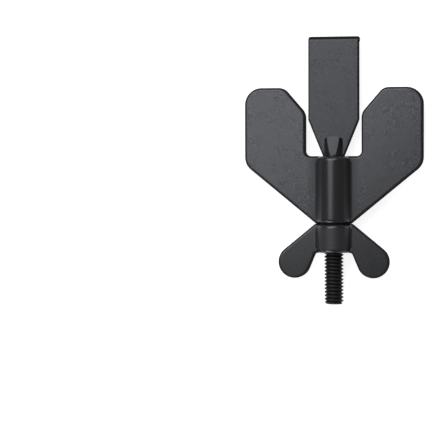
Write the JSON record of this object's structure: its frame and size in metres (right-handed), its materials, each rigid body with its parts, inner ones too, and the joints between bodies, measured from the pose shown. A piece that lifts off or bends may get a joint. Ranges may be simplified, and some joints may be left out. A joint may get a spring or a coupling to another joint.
{
  "type": "portable door lock",
  "caption": "Hand-fitted door lock: a winged plate with a barrel, a hooked flat tongue on a threaded rod through it, and a wing nut that draws the hook tight.",
  "frame": {"origin": "on the surface it lies on, under the middle of its box", "axes": "+Y along the rod towards the hooked tip, +X towards the right wing, +Z out of the wings' face, with the hook bent the other way"},
  "size_m": [0.0646, 0.0966, 0.0127],
  "materials": {
    "powder_coat": "satin",
    "black_steel": "satin"
  },
  "bodies": {
    "plate": {"wing_plate": "powder_coat"},
    "nut": {"wing_nut": "powder_coat"},
    "tongue": {"tongue": "black_steel"}
  },
  "joints": [
    {"name": "swivel", "type": "hinge", "parent": "plate", "child": "nut", "pos_m": [0, 0, 0.00635], "axis": [0, 1, 0], "continuous": true},
    {"name": "tongue_travel", "type": "slide", "parent": "nut", "child": "tongue", "axis": [0, 1, 0], "range_m": [0, 0.0165]}
  ]
}
